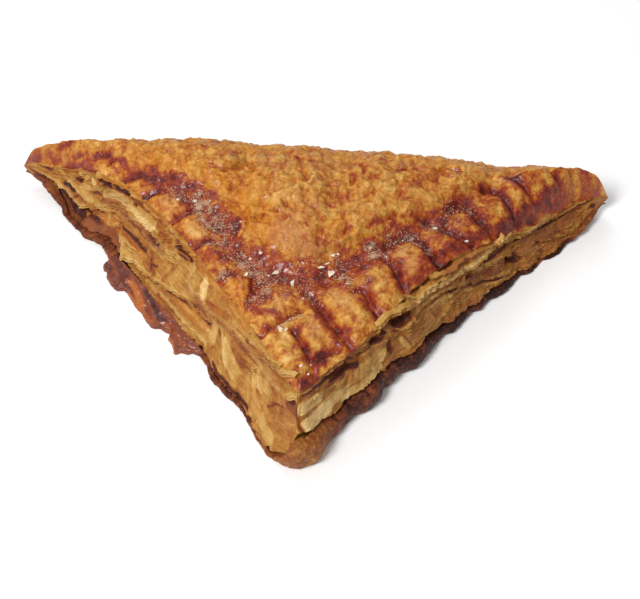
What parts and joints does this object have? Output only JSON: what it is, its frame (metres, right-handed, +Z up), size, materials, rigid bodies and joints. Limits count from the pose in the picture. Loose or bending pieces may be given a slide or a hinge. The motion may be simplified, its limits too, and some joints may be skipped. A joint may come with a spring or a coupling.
{
  "type": "turnover pastry",
  "caption": "Triangular folded turnover of browned laminated pastry, domed over its filling, with tine-crimped rims and open flaky sides.",
  "frame": {"origin": "middle of the bounding box in plan, on the surface that the turnover rests on", "axes": "+X along the fold towards the right tip, +Y from the crimped front corner towards the fold, +Z up"},
  "size_m": [0.16, 0.0896, 0.0288],
  "materials": {
    "baked_pastry": null
  },
  "bodies": {
    "root": {"turnover": "baked_pastry"}
  },
  "joints": []
}
